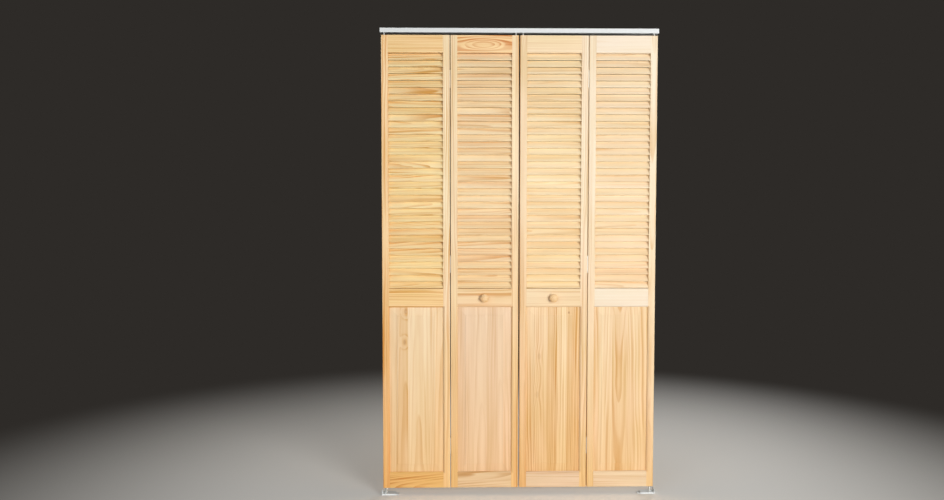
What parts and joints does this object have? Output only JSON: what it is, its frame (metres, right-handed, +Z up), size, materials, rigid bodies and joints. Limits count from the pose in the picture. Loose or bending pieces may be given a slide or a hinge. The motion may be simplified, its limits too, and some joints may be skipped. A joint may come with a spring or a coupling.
{
  "type": "bifold closet door set",
  "caption": "Louvre-over-panel pine bifold closet door set: two folding pairs of hinged leaves that hang on sprung pivots and run in a top track.",
  "frame": {"origin": "floor level in the middle of the opening, in the middle of the closed leaves' thickness", "axes": "+X to the right across the opening as seen from the room, +Y from the room into the closet, +Z up"},
  "size_m": [1.2192, 0.063, 2.059],
  "materials": {
    "pine": "unfinished, sanded",
    "turned_pine": "unfinished, turned",
    "white_enamelled_steel": "white stoved enamel",
    "zinc_plated_steel": "bright zinc plate",
    "white_nylon": "moulded nylon"
  },
  "bodies": {
    "fixed_hardware": {"track": "white_enamelled_steel", "top_pivot_brackets": "zinc_plated_steel", "top_bracket_screws": "zinc_plated_steel", "floor_brackets": "white_enamelled_steel"},
    "left_pivot_leaf": {"left_pivot_leaf_pivot_stile": "pine", "left_pivot_leaf_hinge_stile": "pine", "left_pivot_leaf_top_rail": "pine", "left_pivot_leaf_lock_rail": "pine", "left_pivot_leaf_bottom_rail": "pine", "left_pivot_leaf_raised_panel": "pine", "left_pivot_leaf_louvre_slats": "pine", "left_hinge_leaves_pivot_side": "zinc_plated_steel", "left_hinge_pins": "zinc_plated_steel", "left_pivot_leaf_screws": "zinc_plated_steel", "left_top_pivot_sleeve": "white_nylon", "left_top_pivot_spring": "zinc_plated_steel", "left_bottom_pivot": "zinc_plated_steel"},
    "left_guide_leaf": {"left_guide_leaf_lead_stile": "pine", "left_guide_leaf_hinge_stile": "pine", "left_guide_leaf_top_rail": "pine", "left_guide_leaf_lock_rail": "pine", "left_guide_leaf_bottom_rail": "pine", "left_guide_leaf_raised_panel": "pine", "left_guide_leaf_louvre_slats": "pine", "left_hinge_leaves_guide_side": "zinc_plated_steel", "left_guide_leaf_screws": "zinc_plated_steel", "left_knob": "turned_pine", "left_guide_sleeve": "white_nylon", "left_guide_spring": "zinc_plated_steel"},
    "left_top_pivot_pin": {"left_top_pivot_pin": "zinc_plated_steel"},
    "left_guide_pin": {"left_guide_pin": "zinc_plated_steel"},
    "left_guide_roller": {"left_guide_roller": "white_nylon"},
    "right_pivot_leaf": {"right_pivot_leaf_pivot_stile": "pine", "right_pivot_leaf_hinge_stile": "pine", "right_pivot_leaf_top_rail": "pine", "right_pivot_leaf_lock_rail": "pine", "right_pivot_leaf_bottom_rail": "pine", "right_pivot_leaf_raised_panel": "pine", "right_pivot_leaf_louvre_slats": "pine", "right_hinge_leaves_pivot_side": "zinc_plated_steel", "right_hinge_pins": "zinc_plated_steel", "right_pivot_leaf_screws": "zinc_plated_steel", "right_top_pivot_sleeve": "white_nylon", "right_top_pivot_spring": "zinc_plated_steel", "right_bottom_pivot": "zinc_plated_steel"},
    "right_guide_leaf": {"right_guide_leaf_lead_stile": "pine", "right_guide_leaf_hinge_stile": "pine", "right_guide_leaf_top_rail": "pine", "right_guide_leaf_lock_rail": "pine", "right_guide_leaf_bottom_rail": "pine", "right_guide_leaf_raised_panel": "pine", "right_guide_leaf_louvre_slats": "pine", "right_hinge_leaves_guide_side": "zinc_plated_steel", "right_guide_leaf_screws": "zinc_plated_steel", "right_knob": "turned_pine", "right_guide_sleeve": "white_nylon", "right_guide_spring": "zinc_plated_steel"},
    "right_top_pivot_pin": {"right_top_pivot_pin": "zinc_plated_steel"},
    "right_guide_pin": {"right_guide_pin": "zinc_plated_steel"},
    "right_guide_roller": {"right_guide_roller": "white_nylon"}
  },
  "joints": [
    {"name": "left_leaf_swing", "type": "hinge", "parent": "fixed_hardware", "child": "left_pivot_leaf", "pos_m": [-0.59055, 0, 0.032], "axis": [0, 0, -1], "range_deg": [0, 85]},
    {"name": "left_fold", "type": "hinge", "parent": "left_pivot_leaf", "child": "left_guide_leaf", "pos_m": [-0.3032, 0.01765, 0.219], "axis": [0, 0, 1], "range_deg": [0, 170]},
    {"name": "left_top_pivot_push", "type": "slide", "parent": "left_pivot_leaf", "child": "left_top_pivot_pin", "axis": [0, 0, 1], "range_m": [-0.01, 0], "stiffness_N_per_m": 400, "springref_m": 0.01, "deforming": ["left_top_pivot_spring"]},
    {"name": "left_guide_push", "type": "slide", "parent": "left_guide_leaf", "child": "left_guide_pin", "axis": [0, 0, 1], "range_m": [-0.0084, 0], "stiffness_N_per_m": 400, "springref_m": 0.01, "deforming": ["left_guide_spring"]},
    {"name": "left_roller_spin", "type": "hinge", "parent": "left_guide_pin", "child": "left_guide_roller", "pos_m": [-0.01585, 0, 2.0437], "axis": [0, 0, 1], "continuous": true},
    {"name": "right_leaf_swing", "type": "hinge", "parent": "fixed_hardware", "child": "right_pivot_leaf", "pos_m": [0.59055, 0, 0.032], "axis": [0, 0, 1], "range_deg": [0, 85]},
    {"name": "right_fold", "type": "hinge", "parent": "right_pivot_leaf", "child": "right_guide_leaf", "pos_m": [0.3032, 0.01765, 0.219], "axis": [0, 0, -1], "range_deg": [0, 170]},
    {"name": "right_top_pivot_push", "type": "slide", "parent": "right_pivot_leaf", "child": "right_top_pivot_pin", "axis": [0, 0, 1], "range_m": [-0.01, 0], "stiffness_N_per_m": 400, "springref_m": 0.01, "deforming": ["right_top_pivot_spring"]},
    {"name": "right_guide_push", "type": "slide", "parent": "right_guide_leaf", "child": "right_guide_pin", "axis": [0, 0, 1], "range_m": [-0.0084, 0], "stiffness_N_per_m": 400, "springref_m": 0.01, "deforming": ["right_guide_spring"]},
    {"name": "right_roller_spin", "type": "hinge", "parent": "right_guide_pin", "child": "right_guide_roller", "pos_m": [0.01585, 0, 2.0437], "axis": [0, 0, 1], "continuous": true}
  ],
  "couplings": [
    {"joint": "left_fold", "follows": "left_leaf_swing", "ratio": 2},
    {"joint": "right_fold", "follows": "right_leaf_swing", "ratio": 2}
  ]
}
